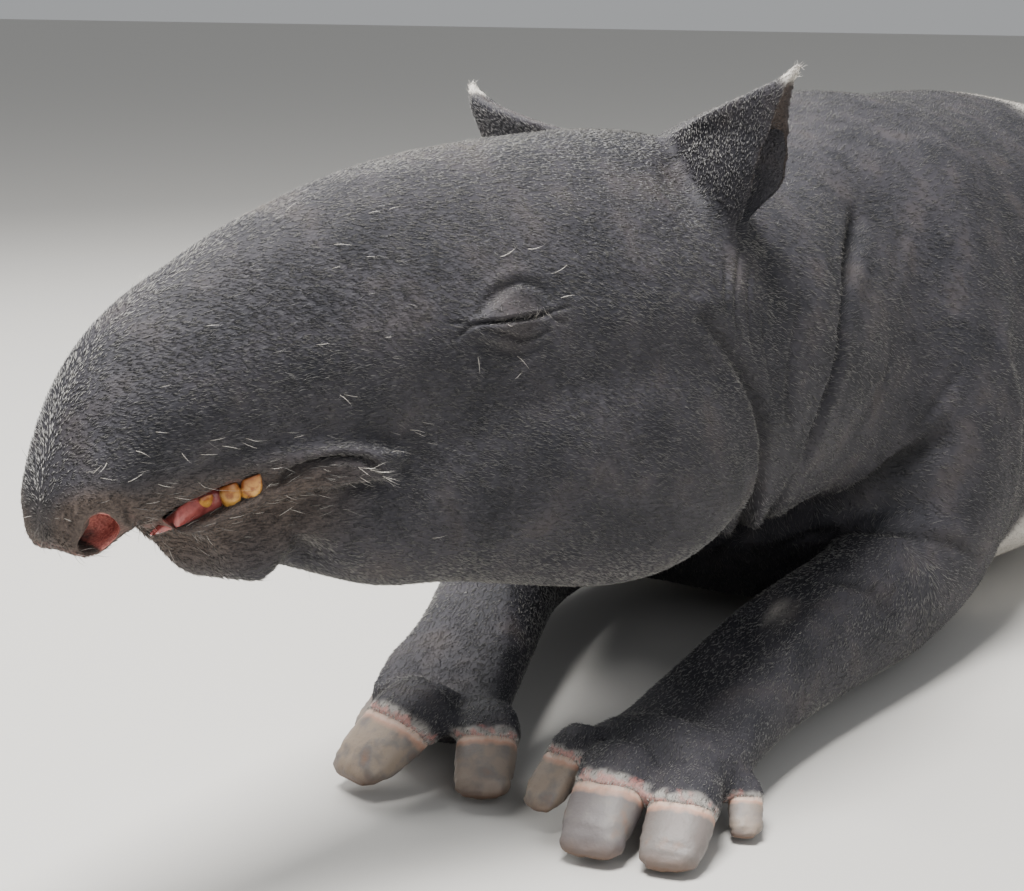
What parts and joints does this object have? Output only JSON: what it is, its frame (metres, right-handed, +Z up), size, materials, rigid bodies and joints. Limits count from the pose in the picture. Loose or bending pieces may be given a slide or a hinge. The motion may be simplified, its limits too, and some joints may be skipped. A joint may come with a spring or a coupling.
{
  "type": "malayan tapir",
  "caption": "Life-size tapir resting on its belly, fore legs stretched out, head held up with eyes closed; a still display model with black ends and a white saddle.",
  "frame": {"origin": "middle of the footprint, at the level of the floor the animal lies on", "axes": "-X is where the body points, -Y its left side, +Z up"},
  "size_m": [2.1424, 0.8228, 0.5838],
  "materials": {
    "black_skin": "short black coat over skin, matte",
    "white_saddle": "short greyish white coat over skin, matte",
    "hoof_horn": "dull horn",
    "tooth": "stained enamel"
  },
  "bodies": {
    "root": {"ear_left": "black_skin", "ear_right": "black_skin", "fore_leg_left": "black_skin", "fore_leg_right": "black_skin", "head": "black_skin", "hind_leg_left": "black_skin", "hind_leg_right": "black_skin", "hoof_fore_left_2": "hoof_horn", "hoof_fore_left_3": "hoof_horn", "hoof_fore_left_4": "hoof_horn", "hoof_fore_left_5": "hoof_horn", "hoof_fore_right_2": "hoof_horn", "hoof_fore_right_3": "hoof_horn", "hoof_fore_right_4": "hoof_horn", "hoof_fore_right_5": "hoof_horn", "hoof_hind_left_2": "hoof_horn", "hoof_hind_left_3": "hoof_horn", "hoof_hind_left_4": "hoof_horn", "hoof_hind_right_2": "hoof_horn", "hoof_hind_right_3": "hoof_horn", "hoof_hind_right_4": "hoof_horn", "lower_lid_left": "black_skin", "lower_lid_right": "black_skin", "neck": "black_skin", "tail": "black_skin", "torso": "white_saddle", "upper_lid_left": "black_skin", "upper_lid_right": "black_skin", "upper_teeth": "tooth"}
  },
  "joints": []
}
